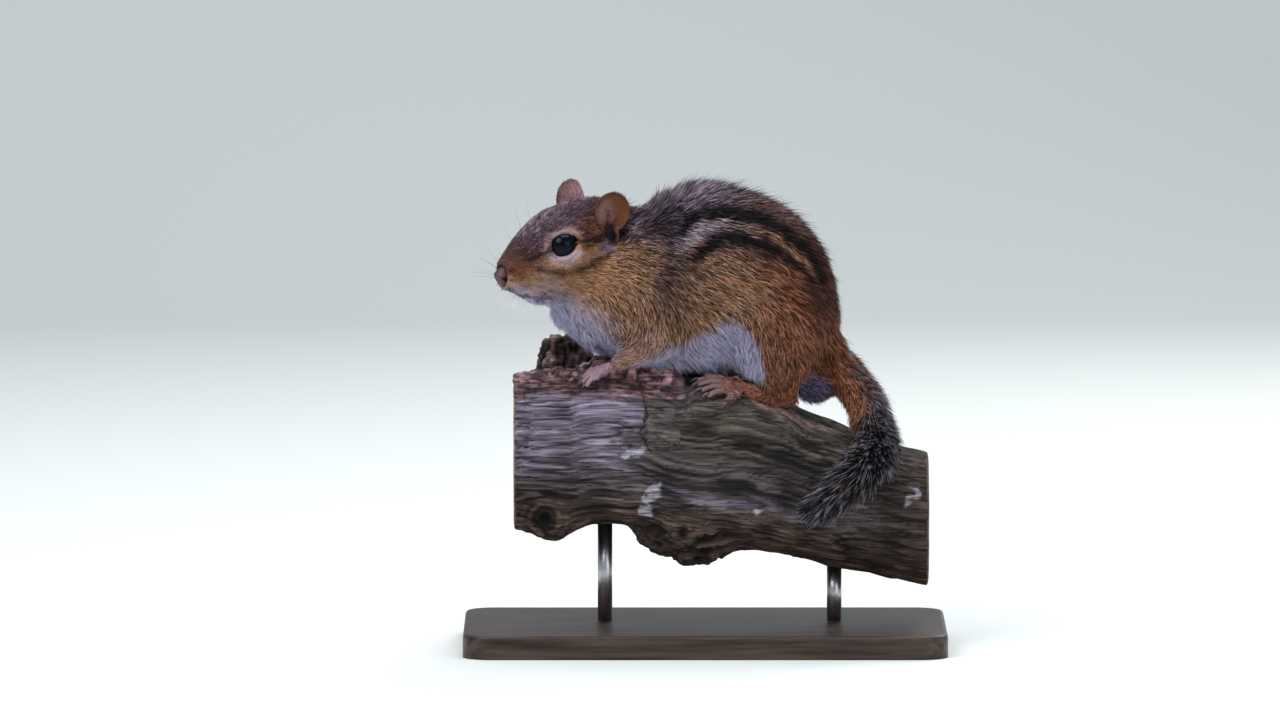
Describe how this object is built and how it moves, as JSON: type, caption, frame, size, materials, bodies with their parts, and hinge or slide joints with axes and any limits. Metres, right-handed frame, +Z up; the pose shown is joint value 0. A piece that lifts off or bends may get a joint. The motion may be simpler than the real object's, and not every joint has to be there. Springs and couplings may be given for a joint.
{
  "type": "chipmunk",
  "caption": "Chipmunk crouched on a cut length of dead limb with its tail hanging beside it, head turned aside, on a flat base with rods.",
  "frame": {"origin": "middle of the base's underside", "axes": "+Z up, the animal's head towards -X and its left side towards -Y, its midplane at y = 0"},
  "size_m": [0.164, 0.096, 0.1593],
  "materials": {
    "coat": "short dense fur, striped, grizzled brown to rust",
    "pale_coat": "short white fur",
    "bare_skin": "thinly haired pinkish skin",
    "eye": "wet, glossy black",
    "tail_coat": "long dark hair with frosted tips",
    "dead_wood": "weathered, grooved along the grain",
    "stand": "dark satin",
    "steel": "brushed"
  },
  "bodies": {
    "root": {"head": "coat", "lower_jaw": "pale_coat", "nose": "bare_skin", "eye_left": "eye", "eye_right": "eye", "ear_left": "coat", "ear_right": "coat", "neck": "coat", "chest": "coat", "rump": "coat", "foreleg_left": "coat", "foreleg_right": "coat", "forepaw_left": "bare_skin", "forepaw_right": "bare_skin", "thigh_left": "coat", "thigh_right": "coat", "hind_foot_left": "coat", "hind_foot_right": "coat", "tail_base": "coat", "tail_middle": "tail_coat", "tail_tip": "tail_coat", "perch": "dead_wood", "perch_stub": "dead_wood", "stand_base": "stand", "stand_rod_front": "steel", "stand_rod_back": "steel"}
  },
  "joints": []
}
